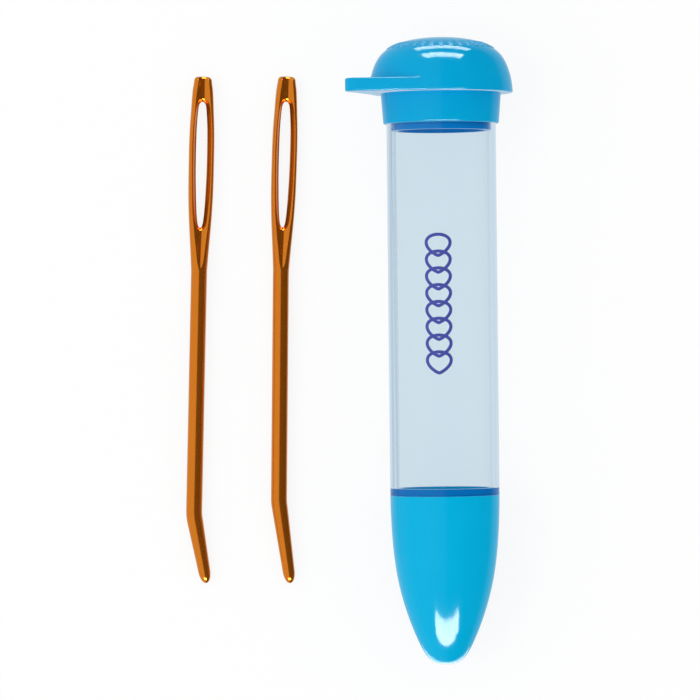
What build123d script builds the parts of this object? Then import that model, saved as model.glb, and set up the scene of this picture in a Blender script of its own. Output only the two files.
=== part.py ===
from build123d import *
import math
import os

# Bent-tip yarn needles lying beside their storage case. Lengths are millimetres, angles degrees.
# Z is up, Y runs along the case towards its cap, and the origin is on the table under the middle
# of the set. The case lies on its cap's flange and on the upper end of its nose.

# Needle, measured from the top end of its head
needle_length = 76.2
shaft_diameter = 2.4
head_length = 29.2
head_width = 3.82
head_thickness = 2.0
head_end_radius = 0.55
neck_step = 0.02
eye_setback = 3.75
eye_length = 19.0
eye_width = 1.70
neck_bend_radius = 60.0
tip_bend_radius = 8.0
nib_diameter = 1.8
nib_length = 1.9

# The head swells from the shaft and is pressed flatter than it. Each row is the distance from the
# top end as a share of the head's length, how much of the swelling is there, how much of the
# flattening, and how far the section has gone from round to squarish.
head_shares = (
    (0.030, 0.15, 1.00, 0.6),
    (0.074, 0.40, 1.00, 0.8),
    (0.178, 0.71, 1.00, 1.0),
    (0.281, 0.92, 1.00, 1.0),
    (0.384, 1.00, 1.00, 1.0),
    (0.500, 0.99, 1.00, 1.0),
    (0.600, 0.94, 1.00, 1.0),
    (0.700, 0.79, 0.98, 0.9),
    (0.800, 0.54, 0.85, 0.6),
    (0.900, 0.25, 0.50, 0.3),
    (1.000, 0.00, 0.00, 0.0),
)
head_squareness = 0.7
section_points = 24
end_round_angles = (0, 35, 65)

# The eye's right-hand edge: distance along the eye as a share of its length, and its half width
# as a share of the largest one.
eye_shares = (
    (0.030, 0.60),
    (0.080, 0.75),
    (0.160, 0.89),
    (0.260, 0.97),
    (0.400, 1.00),
    (0.560, 0.97),
    (0.710, 0.87),
    (0.870, 0.69),
    (0.970, 0.42),
)

# The groove pressed into each face of the head: distance from the top end as a share of the
# head's length, half width as a share of the head's half width, and the heights of its rim and
# of its bottom as shares of the head's half thickness. Its bottom dips under the mid-plane
# along the eye.
groove_shares = (
    (-0.040, 0.36, 0.90, 0.52),
    (0.050, 0.40, 0.90, 0.50),
    (0.128, 0.52, 0.88, 0.42),
    (0.240, 0.68, 0.84, -0.20),
    (0.400, 0.76, 0.80, -0.60),
    (0.580, 0.73, 0.80, -0.40),
    (0.780, 0.46, 0.92, 0.38),
    (0.880, 0.28, 1.06, 0.70),
    (0.990, 0.07, 1.32, 1.24),
)

# Where each needle lies: its top end left of the case's axis and above the nose's shoulder, the
# lean of its shaft to the right, the further lean of its head, its bend and the leg below it.
# It also lies rolled a little, on its shaft and on the underside of its tip.
needle_places = {
    "needle_left": {
        "aside": 35.51,
        "above": 63.3,
        "lean": 1.70,
        "head_lean": 0.0,
        "bend": 11.7,
        "tip_leg": 10.3,
    },
    "needle_right": {
        "aside": 22.90,
        "above": 63.2,
        "lean": 1.04,
        "head_lean": 1.27,
        "bend": 8.6,
        "tip_leg": 12.3,
    },
}

# Clear tube of the case
tube_diameter = 16.2
tube_wall = 0.65
tube_length = 59.5

# Nose, a hollow pointed cup whose spigot is cemented into the tube's lower end
nose_length = 25.1
nose_tip_wall = 2.0
nose_spigot_height = 1.05
nose_spigot_wall = 0.9
nose_fit = 0.02

# The nose's outline: distance below its shoulder and radius, as shares of length and of radius.
# The second point is the one that rests on the table.
nose_shares = (
    (0.000, 1.000),
    (0.130, 0.991),
    (0.270, 0.966),
    (0.385, 0.930),
    (0.500, 0.873),
    (0.690, 0.718),
    (0.857, 0.517),
    (0.930, 0.398),
    (0.975, 0.275),
    (1.000, 0.000),
)
nose_rest_share = nose_shares[1]

# Cap, a domed plug with a skirt over the tube and a pull tab on its flange
cap_fit = 0.05
cap_seat_gap = 0.05
cap_skirt_height = 4.55
cap_lip_wall = 0.42
cap_root_wall = 0.77
cap_plug_wall = 0.9
cap_plug_drop = 1.0
cap_flange_overhang = 1.78
cap_dome_height = 8.3
cap_dome_wall = 1.2
cap_edge_radius = 0.25
tab_thickness = 1.94
tab_overhang = 5.6
tab_tip_radius = 2.0
tab_angle = 31.5
tab_root_share = 0.965

# The dome's outline: radius and height as shares of the flange's radius and of the dome's height
dome_shares = (
    (1.000, 0.000),
    (0.996, 0.090),
    (0.981, 0.240),
    (0.944, 0.420),
    (0.898, 0.563),
    (0.845, 0.670),
    (0.760, 0.775),
    (0.650, 0.860),
    (0.450, 0.945),
    (0.000, 1.000),
)

# Cuts run this far past the faces that they open
overrun = 1.0

# Worked out from the sizes above
shaft_radius = shaft_diameter / 2
tube_radius = tube_diameter / 2
bore_radius = tube_radius - tube_wall
spigot_radius = bore_radius - nose_fit
nose_bore_radius = spigot_radius - nose_spigot_wall
plug_radius = bore_radius - cap_fit
cap_bore_radius = plug_radius - cap_plug_wall
skirt_bore_radius = tube_radius + cap_fit
lip_radius = skirt_bore_radius + cap_lip_wall
root_radius = skirt_bore_radius + cap_root_wall
flange_radius = root_radius + cap_flange_overhang
flange_height = tube_length + cap_seat_gap
lip_height = flange_height - cap_skirt_height
plug_height = lip_height - cap_plug_drop


def superellipse(half_width, half_thickness, power):
    """Face inside |x/a|^n + |y/b|^n = 1: an ellipse at n = 2 and squarer above."""
    points = []
    for step in range(section_points):
        angle = 2 * math.pi * step / section_points
        across, up = math.cos(angle), math.sin(angle)
        points.append(
            (
                half_width * math.copysign(abs(across) ** (2 / power), across),
                half_thickness * math.copysign(abs(up) ** (2 / power), up),
            )
        )
    return make_face(Spline(*points, periodic=True))


def head_section(distance_share, swell_share, flat_share, square_share, inset=0.0):
    """Section of the head across its length, drawn in on all sides by the inset."""
    neck = shaft_diameter - 2 * neck_step
    width = neck + (head_width - neck) * swell_share
    thickness = neck + (head_thickness - neck) * flat_share
    power = 2 + head_squareness * square_share
    return superellipse(width / 2 - inset, thickness / 2 - inset, power)


def head_blank():
    """The head before it is pressed and pierced: sections joined from its round top end down."""
    sections = []
    first = head_shares[0]
    for angle in end_round_angles:
        turn = math.radians(angle)
        depth = head_end_radius * (1 - math.cos(turn))
        inset = head_end_radius * (1 - math.sin(turn))
        sections.append(Pos(0, 0, depth) * head_section(*first, inset=inset))
    for row in head_shares:
        sections.append(Pos(0, 0, max(row[0] * head_length, head_end_radius)) * head_section(*row))
    return loft(sections)


def eye_cutter():
    """Long oval through the head, with round ends."""
    half = eye_width / 2
    right = [(share * half, eye_setback + distance * eye_length) for distance, share in eye_shares]
    left = [(-across, along) for across, along in reversed(right)]
    top = (0, eye_setback)
    bottom = (0, eye_setback + eye_length)
    outline = make_face(Spline(top, *right, bottom, *left, periodic=True))
    return extrude(Plane.XZ * outline, head_thickness, both=True)


def groove_cutter():
    """V-shaped groove along the upper face: sections of a V with upright sides above its rim."""
    sections = []
    for distance, width_share, rim_share, bottom_share in groove_shares:
        half = width_share * head_width / 2
        rim = rim_share * head_thickness / 2
        bottom = bottom_share * head_thickness / 2
        top = head_thickness
        outline = Polyline(
            (0, bottom), (half, rim), (half, top), (-half, top), (-half, rim), close=True
        )
        sections.append(Pos(0, 0, distance * head_length) * make_face(outline))
    return loft(sections)


def needle_head():
    """The finished head along Z, its top end at zero, pierced and grooved on both faces."""
    groove = groove_cutter()
    return head_blank() - eye_cutter() - groove - mirror(groove, Plane.XZ)


def bent_length(place, radius, angle):
    """Round length bent to the right about the table's normal, and the place where it ends."""
    axis = Axis((place * Pos(radius, 0, 0)).position, (0, 0, 1))
    piece = revolve(place * Circle(shaft_radius), axis, angle)
    return piece, place * Pos(radius, 0, 0) * Rot(0, angle, 0) * Pos(-radius, 0, 0)


def resting_roll(bend, taper_length):
    """Roll about the shaft that lays the underside of the tapering tip on the table."""
    narrowing = math.atan((shaft_diameter - nib_diameter) / 2 / taper_length)
    return math.degrees(math.asin(math.sin(narrowing) / math.sin(math.radians(bend))))


def needle(head, aside, above, lean, head_lean, bend, tip_leg):
    """One needle, lying on the table at Y = above from the shoulder and X = -aside.

    Its tip is the heavy side, so it has rolled until the tip's underside lies down.
    """
    tip_setback = tip_bend_radius * math.tan(math.radians(bend / 2))
    taper_length = tip_leg - tip_setback - nib_length
    roll = resting_roll(bend, taper_length)
    crook_rise = tip_bend_radius * (1 - math.cos(math.radians(bend))) * math.sin(math.radians(roll))
    flat = Plane(
        origin=(-aside, above, shaft_radius + crook_rise),
        x_dir=(1, 0, 0),
        z_dir=(0, -1, 0),
    ).location
    place = flat * Rot(0, -lean - head_lean, 0)
    pieces = [place * head]
    place = place * Pos(0, 0, head_length)

    neck_setback = neck_bend_radius * math.tan(math.radians(head_lean / 2))
    shaft_length = needle_length - head_length - 2 * neck_setback - tip_setback - tip_leg
    if head_lean:
        neck, place = bent_length(place, neck_bend_radius, head_lean)
        pieces.append(neck)
    shaft_axis = Axis(place.position, Plane(place).z_dir)
    upright = (Align.CENTER, Align.CENTER, Align.MIN)
    pieces.append(place * Cylinder(shaft_radius, shaft_length, align=upright))
    place = place * Pos(0, 0, shaft_length)
    crook, place = bent_length(place, tip_bend_radius, bend)
    pieces.append(crook)

    nib_radius = nib_diameter / 2
    pieces.append(place * Cone(shaft_radius, nib_radius, taper_length, align=upright))
    place = place * Pos(0, 0, taper_length)
    quarter = make_face(
        [
            Line((0, 0), (nib_radius, 0)),
            EllipticalCenterArc((0, 0), nib_radius, nib_length, 0, arc_size=90),
            Line((0, nib_length), (0, 0)),
        ]
    )
    pieces.append(place * revolve(Plane.XZ * quarter, Axis.Z))
    return (Part() + pieces).rotate(shaft_axis, -roll)


def revolved(outline):
    """Solid of revolution about Z of a closed outline of radius and height."""
    return revolve(Plane.XZ * make_face(outline), Axis.Z)


def tube():
    """Plain tube, open at both ends, standing on the nose's shoulder."""
    upright = (Align.CENTER, Align.CENTER, Align.MIN)
    wall = Cylinder(tube_radius, tube_length, align=upright)
    return wall - Pos(0, 0, -overrun) * Cylinder(
        bore_radius, tube_length + 2 * overrun, align=upright
    )


def nose_body(radius, length):
    """Pointed body under the shoulder, of the nose's outline at the given radius and length."""
    points = [(radius * across, -length * along) for along, across in nose_shares]
    curve = Spline(*points, tangents=[(0, -1), (-1, 0)])
    return revolved([curve, Line(points[-1], (0, 0)), Line((0, 0), points[0])])


def nose():
    """Hollow nose: its shoulder carries the tube, and its spigot stands inside it."""
    upright = (Align.CENTER, Align.CENTER, Align.MIN)
    body = nose_body(tube_radius, nose_length)
    body += Cylinder(spigot_radius, nose_spigot_height, align=upright)
    body -= nose_body(nose_bore_radius, nose_length - nose_tip_wall)
    return body - Cylinder(nose_bore_radius, nose_spigot_height + overrun, align=upright)


def dome(radius, height):
    """Dome over the flange's plane, of the cap's outline at the given radius and height."""
    points = [(radius * across, height * up) for across, up in dome_shares]
    curve = Spline(*points, tangents=[(0, 1), (-1, 0)])
    return revolved([Line((0, 0), points[0]), curve, Line(points[-1], (0, 0))])


def tab_plate():
    """Drop-shaped plate through the flange, narrowing to a rounded tip, with softened edges."""
    reach = flange_radius + tab_overhang - tab_tip_radius
    root = Circle(tab_root_share * flange_radius)
    tip = Pos(reach, 0) * Circle(tab_tip_radius)
    outline = make_hull(root.edges() + tip.edges())
    plate = extrude(outline, tab_thickness)
    rims = plate.edges().group_by(Axis.Z)
    return Rot(0, 0, tab_angle) * fillet(rims[0] + rims[-1], cap_edge_radius)


def cap():
    """Cap at rest on the tube: dome and tab above the flange's plane, skirt and plug below it."""
    upright = (Align.CENTER, Align.CENTER, Align.MIN)
    base = Pos(0, 0, flange_height)
    crown = dome(flange_radius, cap_dome_height)
    crown = fillet(crown.edges().group_by(Axis.Z)[0], cap_edge_radius)
    body = base * (crown + tab_plate())
    skirt = revolved(
        Polyline(
            (0, lip_height),
            (lip_radius, lip_height),
            (root_radius, flange_height),
            (root_radius, flange_height + tab_thickness),
            (0, flange_height + tab_thickness),
            close=True,
        )
    )
    groove = Pos(0, 0, lip_height - overrun) * Cylinder(
        skirt_bore_radius, cap_skirt_height + overrun, align=upright
    )
    plug = Pos(0, 0, plug_height) * Cylinder(
        plug_radius, flange_height + tab_thickness - plug_height, align=upright
    )
    body = body + (skirt - groove) + plug
    hollow = dome(flange_radius - cap_dome_wall, cap_dome_height - cap_dome_wall)
    hollow = base * (hollow & Cylinder(cap_bore_radius, 2 * cap_dome_height))
    hollow += Pos(0, 0, plug_height - overrun) * Cylinder(
        cap_bore_radius, flange_height - plug_height + overrun, align=upright
    )
    return body - hollow


def resting_tilt():
    """Angle of the case's axis when the flange and the nose's rest point both touch the table."""
    down, across = nose_rest_share
    rise = flange_radius - across * tube_radius
    return math.degrees(math.atan(rise / (flange_height + down * nose_length)))


tilt = resting_tilt()
lean = math.radians(tilt)
shoulder_height = flange_radius * math.cos(lean) - flange_height * math.sin(lean)
case_place = Plane(
    origin=(0, 0, shoulder_height),
    x_dir=(-1, 0, 0),
    z_dir=(0, math.cos(lean), math.sin(lean)),
).location

head = needle_head()
pieces = {name: needle(head, **place) for name, place in needle_places.items()}
pieces["case_tube"] = case_place * tube()
pieces["case_nose"] = case_place * nose()
pieces["case_cap"] = case_place * cap()

boxes = [piece.bounding_box() for piece in pieces.values()]
middle = Pos(
    -(min(box.min.X for box in boxes) + max(box.max.X for box in boxes)) / 2,
    -(min(box.min.Y for box in boxes) + max(box.max.Y for box in boxes)) / 2,
    0,
)

os.makedirs("parts", exist_ok=True)
for name, piece in pieces.items():
    solid = middle * piece
    export_step(solid, f"parts/{name}.step")
    size = solid.bounding_box()
    print(f"{name}: volume {solid.volume:.1f}, from {size.min} to {size.max}")
print(f"tilt {tilt:.3f} degrees, shoulder at {(middle * case_place).position}")
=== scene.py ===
"""Bent-tip yarn needles lying beside their storage case.

Lengths in the tables are shares or millimetres, as the comments say. Blender works in metres.
"""

import math
from collections import namedtuple

import bmesh
import bpy
import numpy as np
from bpy.props import FloatProperty, FloatVectorProperty, IntProperty, PointerProperty
from mathutils import Matrix, Vector


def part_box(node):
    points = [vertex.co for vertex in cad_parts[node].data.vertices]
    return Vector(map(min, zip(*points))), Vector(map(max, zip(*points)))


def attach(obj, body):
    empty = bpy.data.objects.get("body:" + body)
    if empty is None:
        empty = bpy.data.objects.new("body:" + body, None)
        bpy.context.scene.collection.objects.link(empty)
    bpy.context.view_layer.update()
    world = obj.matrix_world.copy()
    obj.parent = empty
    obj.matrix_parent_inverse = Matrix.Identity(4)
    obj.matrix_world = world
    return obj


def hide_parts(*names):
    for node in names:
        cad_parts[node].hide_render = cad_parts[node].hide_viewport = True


bl_info = {
    "name": "Yarn Needles and Case",
    "version": (1, 0, 0),
    "blender": (4, 5, 0),
    "location": "3D View > Sidebar > Needles",
    "description": "Builds two bent-tip yarn needles, their tube case and a plain stage",
    "category": "Add Mesh",
}

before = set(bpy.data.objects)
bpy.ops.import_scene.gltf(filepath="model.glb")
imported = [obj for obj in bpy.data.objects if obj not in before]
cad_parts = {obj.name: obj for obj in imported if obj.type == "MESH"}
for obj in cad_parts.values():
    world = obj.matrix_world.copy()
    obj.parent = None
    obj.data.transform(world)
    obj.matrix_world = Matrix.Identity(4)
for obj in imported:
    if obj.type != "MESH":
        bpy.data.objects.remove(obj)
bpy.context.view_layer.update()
MM = 0.001

# Needle head: distance from its top end as a share of its length, then how much of the swelling and
# of the flattening is there, and how squarish the section is.
HEAD_SHARES = (
    (0.000, 0.12, 1.00, 0.6),
    (0.030, 0.23, 1.00, 0.6),
    (0.074, 0.48, 1.00, 0.8),
    (0.178, 0.73, 1.00, 1.0),
    (0.281, 0.93, 1.00, 1.0),
    (0.384, 1.00, 1.00, 1.0),
    (0.500, 0.99, 1.00, 1.0),
    (0.600, 0.94, 1.00, 1.0),
    (0.700, 0.79, 0.98, 0.9),
    (0.800, 0.54, 0.85, 0.6),
    (0.900, 0.25, 0.50, 0.3),
    (1.000, 0.00, 0.00, 0.0),
)

# Eye: turn along it in degrees, where the cosine gives the distance, and its half width as a share
EYE_SHARES = (
    (0.0, 0.00),
    (19.9, 0.60),
    (32.9, 0.75),
    (47.2, 0.89),
    (61.3, 0.97),
    (78.5, 1.00),
    (96.9, 0.97),
    (114.8, 0.87),
    (137.7, 0.69),
    (160.1, 0.42),
    (180.0, 0.00),
)

# Groove pressed into each face: distance as a share of the head's length, crest as a share of the
# half width, half width of its flat bottom in mm and height of its bottom edge in mm
GROOVE_SHARES = (
    (0.000, 0.59, 0.26, 0.52),
    (0.030, 0.59, 0.26, 0.46),
    (0.100, 0.655, 0.26, 0.44),
    (0.140, 0.69, 0.26, 0.42),
    (0.180, 0.71, 0.24, 0.28),
    (0.240, 0.76, 0.20, 0.12),
    (0.310, 0.785, 0.20, 0.05),
    (0.400, 0.795, 0.20, 0.03),
    (0.590, 0.76, 0.20, 0.05),
    (0.700, 0.73, 0.20, 0.20),
    (0.779, 0.65, 0.22, 0.42),
    (0.820, 0.60, 0.20, 0.48),
    (0.900, 0.453, 0.12, 0.66),
    (0.962, 0.32, 0.04, 0.92),
    (0.985, 0.16, 0.01, 1.10),
    (1.000, 0.06, 0.00, 1.25),
)

# Where each needle lies, in mm and degrees: its top end left of the case's axis and above the
# nose's shoulder, the lean of its shaft, the further lean of its head, its bend and the leg below
Place = namedtuple("Place", "aside above lean head_lean bend leg")
NEEDLE_PLACES = {
    "left": Place(35.50, 63.3, 1.70, 0.0, 11.7, 10.3),
    "right": Place(22.90, 63.2, 1.04, 1.27, 8.6, 12.3),
}

# Nose outline: distance below its shoulder and radius, as shares of its length and radius
NOSE_SHARES = (
    (0.000, 1.000),
    (0.130, 0.991),
    (0.270, 0.966),
    (0.385, 0.930),
    (0.500, 0.873),
    (0.690, 0.718),
    (0.857, 0.517),
    (0.930, 0.398),
    (0.975, 0.275),
    (1.000, 0.000),
)

# Dome outline: radius and height, as shares of the flange's radius and of the dome's height
DOME_SHARES = (
    (1.000, 0.000),
    (0.996, 0.090),
    (0.981, 0.240),
    (0.944, 0.420),
    (0.898, 0.563),
    (0.845, 0.670),
    (0.760, 0.775),
    (0.650, 0.860),
    (0.450, 0.945),
    (0.000, 1.000),
)

# What lies on the table is kept just clear of it: the needles' lift and what the flange gives up
NEEDLE_LIFT = 0.000006
FLANGE_RELIEF = 0.000013

# Turn of the pull tab from the case's left side towards its top, in degrees
TAB_TURN = 31.5

# Numbers of points: round a turned piece, across a needle's lip and side, and down its flat end
SEGMENTS = 192
LIP_COLUMNS = 9
SIDE_COLUMNS = 37
END_ROWS = 8

# Camera: what it aims at, in metres, its tilt square to the case's axis and its roll, in degrees
CAMERA_TARGET = (0.000125, 0.000633, 0)
CAMERA_TILT = 2.437
CAMERA_ROLL = -0.6

# Width of the photograph's frame in pixels, and half the width of the paper in metres
FRAME_PIXELS = 700
PAPER_REACH = 1.5

# Lamps seen only as reflections: place in metres, directions of the width and the height, both
# sizes in metres, level of the face and the pieces that mirror it
MOULDED = ("pointed_nose", "domed_cap", "crown_ribs")
DRAWN = ("left_needle_body", "right_needle_body")
LOW = (0.034, -0.539, 0.418)
HIGH = (0.044, 0.543, 0.230)
LAMPS = {
    "Nose lamp": (LOW, (1, 0, 0), (0, 0, 1), (0.77, 0.20), 64, MOULDED),
    "Dome lamp": (HIGH, (-1, 0, 0), (0, 0, 1), (0.51, 0.18), 44, MOULDED),
    "Low strip": ((0.0165, 0.089, 0.007), (-1, 0, 0), (0, 0, 1), (0.045, 0.013), 18, MOULDED),
    "Edge lamp": ((0.014, -0.35, 0.35), (1, 0, 0), (0, 1, 1), (0.6, 0.5), 10, ("domed_cap",)),
    "Rim lamp": ((0.014, -0.27, -0.27), (-1, 0, 0), (0, 1, -1), (0.5, 0.24), 4, ("pointed_nose",)),
    "Lower needle lamp": (LOW, (1, 0, 0), (0, 0, 1), (0.60, 0.20), 14, DRAWN),
    "Upper needle lamp": (HIGH, (-1, 0, 0), (0, 0, 1), (0.45, 0.12), 12, DRAWN),
}


def length(name, description, value):
    """A length property given in millimetres and kept in metres."""
    return FloatProperty(name=name, description=description, default=value * MM, min=0.0, unit="LENGTH")


def paint(name, description, value):
    """A colour property given as an sRGB hex string and kept linear."""
    return FloatVectorProperty(
        name=name, description=description, default=linear(value), size=4, min=0.0, max=1.0, subtype="COLOR"
    )


def linear(value):
    """Linear RGBA of an sRGB hex colour: below 0.04045 a twelfth, above it a 2.4 power."""
    srgb = np.array([int(value[i : i + 2], 16) for i in (1, 3, 5)]) / 255
    rgb = np.where(srgb <= 0.04045, srgb / 12.92, ((srgb + 0.055) / 1.055) ** 2.4)
    return (*rgb.tolist(), 1.0)


class NeedleSettings(bpy.types.PropertyGroup):
    """Sizes and colour of the two needles."""

    needle_length: length("Length", "Length along the centre line", 76.2)
    shaft_diameter: length("Shaft", "Diameter of the round shaft", 2.4)
    head_length: length("Head length", "From the top end to the round shaft", 29.2)
    head_width: length("Head width", "Across the head at the eye", 3.82)
    head_thickness: length("Head thickness", "Through the pressed head", 2.0)
    head_end_radius: length("End radius", "Rounding of the top end", 0.55)
    eye_setback: length("Eye setback", "From the top end to the eye", 3.75)
    eye_length: length("Eye length", "Along the eye", 19.0)
    eye_width: length("Eye width", "Across the eye", 1.70)
    lip_radius: length("Eye lip", "Rounding of the eye's edge", 0.46)
    crest_radius: length("Crest", "Softness of the ridges beside the groove", 0.035)
    neck_bend_radius: length("Neck radius", "Bend between head and shaft", 60.0)
    tip_bend_radius: length("Tip bend radius", "Bend above the tip", 8.0)
    nib_diameter: length("Nib diameter", "Where the taper meets the nib", 1.8)
    nib_length: length("Nib length", "Length of the rounded nib", 1.9)
    anodising: paint("Anodising", "Dyed oxide over bright aluminium", "#F08A24")


class CaseSettings(bpy.types.PropertyGroup):
    """Sizes and colours of the tube case."""

    tube_diameter: length("Tube diameter", "Outside of the clear tube", 16.2)
    tube_wall: length("Tube wall", "Wall of the clear tube", 0.65)
    tube_length: length("Tube length", "Length of the clear tube", 59.5)
    nose_length: length("Nose length", "Below the shoulder", 25.1)
    nose_tip_wall: length("Nose tip wall", "Plastic at the nose's end", 2.0)
    spigot_height: length("Spigot height", "Nose's spigot inside the tube", 1.05)
    spigot_wall: length("Spigot wall", "Wall of the spigot", 0.9)
    nose_fit: length("Nose fit", "Gap round the spigot before welding", 0.02)
    weld: length("Weld", "Depth of the spigot's weld in the tube's wall", 0.35)
    cap_fit: length("Cap fit", "Gap between cap and tube", 0.05)
    skirt_height: length("Skirt height", "Cap's skirt over the tube", 4.55)
    lip_wall: length("Lip wall", "Skirt's wall at its lip", 0.42)
    root_wall: length("Root wall", "Skirt's wall under the flange", 0.77)
    plug_wall: length("Plug wall", "Wall of the plug", 0.9)
    plug_drop: length("Plug drop", "Plug below the skirt's lip", 1.0)
    flange_overhang: length("Flange overhang", "Flange beyond the skirt", 1.78)
    dome_height: length("Dome height", "Above the flange's underside", 8.3)
    dome_wall: length("Dome wall", "Wall of the dome", 1.2)
    edge_radius: length("Edge radius", "Softening of the moulded edges", 0.25)
    tab_thickness: length("Tab thickness", "Thickness of the pull tab", 1.94)
    tab_overhang: length("Tab overhang", "Tab beyond the flange", 5.6)
    tab_tip_radius: length("Tab tip radius", "Round end of the tab", 2.0)
    rib_height: length("Rib height", "Grip ribs on the crown", 0.10)
    rib_count: IntProperty(name="Ribs", description="Grip ribs round the crown", default=34, min=3)
    cap_blue: paint("Cap blue", "Opaque plastic of the cap", "#00A5D8")
    nose_blue: paint("Nose blue", "Opaque plastic of the nose", "#00B0DF")
    # Darker blue of the spigot's ring: partly the wetted joint, partly painted shade
    weld_and_shade_blue: paint("Weld blue", "Spigot wetted against the clear wall", "#0072BC")
    # Darker blue of the plug's ring: painted shade
    plug_blue: paint("Plug blue", "Plug in the shade of the skirt", "#0088D4")
    clear: paint("Clear blue", "Tint of the clear tube", "#E8F2F7")
    ink: paint("Ink", "Printed pattern on the tube", "#3D48A8")


class StageSettings(bpy.types.PropertyGroup):
    """Camera and light of the stage."""

    camera_distance: length("Camera distance", "From the table to the camera", 680.0)
    focal_pixels: FloatProperty(
        name="Focal length", description="Focal length in pixels of a 700 pixel frame", default=4526.0
    )
    fill: FloatProperty(name="Fill", description="Level of the light from all round", default=0.86, min=0.0)
    key: FloatProperty(name="Key", description="Level of the soft lamp on the left", default=1.2, min=0.0)


def cubic(value, slope, i, u, step):
    """Cubic piece i at the share u of its step, from the values and the slopes at its two ends."""
    return (
        (1 + 2 * u) * (1 - u) ** 2 * value[i]
        + u * (1 - u) ** 2 * step * slope[i]
        + u**2 * (3 - 2 * u) * value[i + 1]
        + u**2 * (u - 1) * step * slope[i + 1]
    )


def clamped_curve(points, first, last, count):
    """Smooth outline through points: a C2 cubic in chord length, clamped to the two end directions.

    The inner slopes solve the usual three-term equations that make neighbouring pieces curve alike.
    """
    p = np.array(points, float)
    t = np.concatenate([[0.0], np.cumsum(np.linalg.norm(np.diff(p, axis=0), axis=1))])
    h = np.diff(t)
    chord = np.diff(p, axis=0) / h[:, None]
    system = np.eye(len(t))
    inner = np.arange(1, len(t) - 1)
    system[inner, inner - 1] = h[1:]
    system[inner, inner] = 2 * (h[1:] + h[:-1])
    system[inner, inner + 1] = h[:-1]
    right = np.zeros_like(p)
    right[0] = first
    right[-1] = last
    right[1:-1] = 3 * (h[1:, None] * chord[:-1] + h[:-1, None] * chord[1:])
    slope = np.linalg.solve(system, right)
    at = np.linspace(0, t[-1], count)
    i = np.clip(np.searchsorted(t, at, side="right") - 1, 0, len(h) - 1)
    return cubic(p, slope, i, ((at - t[i]) / h[i])[:, None], h[i][:, None])


def through(table, column, at):
    """Smooth value through a table: cubic pieces whose slope at a row is the harmonic mean of the
    chords beside it, and zero where they change sign, so that it never overshoots."""
    rows = np.array(table, float)
    x, y = rows[:, 0], rows[:, column]
    h = np.diff(x)
    chord = np.diff(y) / h
    same = chord[:-1] * chord[1:] > 0
    slope = np.zeros_like(y)
    total = np.where(same, chord[:-1] + chord[1:], 1.0)
    slope[1:-1] = np.where(same, 2 * chord[:-1] * chord[1:] / total, 0.0)
    slope[0] = chord[0]
    slope[-1] = chord[-1]
    i = np.clip(np.searchsorted(x, at, side="right") - 1, 0, len(h) - 1)
    return cubic(y, slope, i, np.clip((at - x[i]) / h[i], 0, 1), h[i])


def soft_minimum(one, other, softness):
    """Smaller of two heights, with the corner between them rounded by the softness."""
    return -softness * np.logaddexp(-one / softness, -other / softness)


def grid_faces(rows, columns, wrap=False, start=0):
    """Quads between neighbouring rows and columns of a grid of points, as vertex numbers."""
    last = columns if wrap else columns - 1
    i, j = np.meshgrid(np.arange(rows - 1), np.arange(last), indexing="ij")
    k = (j + 1) % columns
    quads = np.stack([i * columns + j, i * columns + k, (i + 1) * columns + k, (i + 1) * columns + j], -1)
    return start + quads.reshape(-1, 4)


def piece_mesh(name, points, faces, merge=2e-7, sharp=None, flank_shade=None):
    """Object of one mesh, merged at its seams and poles and turned outwards, at the origin.

    Points closer than the merge distance are one. Edges past the sharp angle, in degrees, stay
    crisp. A share of painted shade per point, where given, is kept as an attribute that its material reads.
    """
    mesh = bpy.data.meshes.new(name)
    mesh.from_pydata(points.reshape(-1, 3).tolist(), [], faces.tolist())
    if flank_shade is not None:
        mesh.attributes.new("flank_shade", "FLOAT", "POINT").data.foreach_set("value", flank_shade)
    work = bmesh.new()
    work.from_mesh(mesh)
    bmesh.ops.remove_doubles(work, verts=work.verts, dist=merge)
    bmesh.ops.dissolve_degenerate(work, edges=work.edges, dist=merge)
    bmesh.ops.recalc_face_normals(work, faces=work.faces)
    work.to_mesh(mesh)
    work.free()
    mesh.polygons.foreach_set("use_smooth", np.ones(len(mesh.polygons), bool))
    if sharp is not None:
        mesh.set_sharp_from_angle(angle=math.radians(sharp))
    mesh.update()
    piece = bpy.data.objects.new(name, mesh)
    bpy.context.scene.collection.objects.link(piece)
    return piece


def add(tree, kind, settings=(), links=()):
    """Adds a node with its settings, by attribute or socket, and its links, by input socket.

    A link starts at a socket, or at a node, which then gives the first of its sockets in use.
    """
    node = tree.nodes.new(kind)
    for key, value in dict(settings).items():
        if isinstance(key, str) and hasattr(node, key):
            setattr(node, key, value)
        else:
            node.inputs[key].default_value = value
    for key, start in dict(links).items():
        if isinstance(start, bpy.types.Node):
            start = next(socket for socket in start.outputs if socket.enabled)
        tree.links.new(start, node.inputs[key])
    return node


def new_material(name):
    """Empty node material and its tree."""
    material = bpy.data.materials.new(name)
    material.use_nodes = True
    tree = material.node_tree
    tree.nodes.clear()
    return material, tree


def mottled(tree, place, colour, share, noise):
    """Cloudy pattern, and the colour that falls to a share of its light where the pattern is low."""
    cloud = add(tree, "ShaderNodeTexNoise", noise, {"Vector": place})
    low = (*(share * c for c in colour[:3]), 1.0)
    ends = {"data_type": "RGBA", "A": low, "B": tuple(colour)}
    return cloud, add(tree, "ShaderNodeMix", ends, {"Factor": cloud})


def patterned_skin(tree, settings, colour, rough, dulled_by, relief, raised_by):
    """Shader whose roughness goes from low to high with one pattern and whose relief is another."""
    spread = {"From Min": 0.3, "From Max": 0.7, "To Min": rough[0], "To Max": rough[1]}
    gloss = add(tree, "ShaderNodeMapRange", spread, {"Value": dulled_by})
    bump = add(tree, "ShaderNodeBump", relief, {"Height": raised_by})
    skin = {"Base Color": colour, "Roughness": gloss, "Normal": bump}
    return add(tree, "ShaderNodeBsdfPrincipled", settings, skin)


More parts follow.
